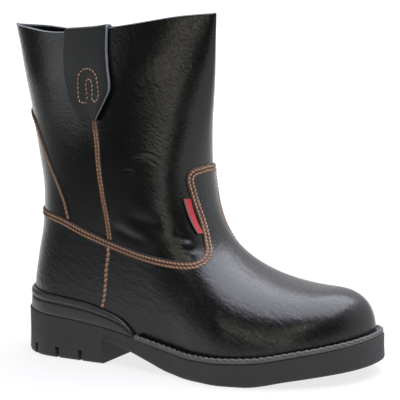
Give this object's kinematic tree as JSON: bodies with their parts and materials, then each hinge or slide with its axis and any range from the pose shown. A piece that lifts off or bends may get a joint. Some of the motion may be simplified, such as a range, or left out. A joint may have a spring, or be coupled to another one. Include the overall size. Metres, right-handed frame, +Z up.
{
  "type": "rigger boot",
  "caption": "Pull-on rigger boot with a leather upper, a vamp and counter step, a rubber heel cup, a stitched welt, pull straps and a block heel.",
  "frame": {"origin": "on the floor under the middle of the heel, 45 mm forward of the sole's back edge", "axes": "+X forward to the toe, +Y to the inner side of the foot, +Z up from the floor"},
  "size_m": [0.3142, 0.1116, 0.2705],
  "materials": {
    "black_leather": "glossy, fine grained",
    "dark_rubber": "matt",
    "welt_grey": "matt, rope-like stitching",
    "insole_board": "matt cloth",
    "red_tab": "woven"
  },
  "bodies": {
    "root": {"outsole": "dark_rubber", "heel_cup": "dark_rubber", "welt": "welt_grey", "insole": "insole_board", "upper": "black_leather", "pull_strap_lateral": "black_leather", "pull_strap_medial": "black_leather", "side_tab": "red_tab"}
  },
  "joints": []
}
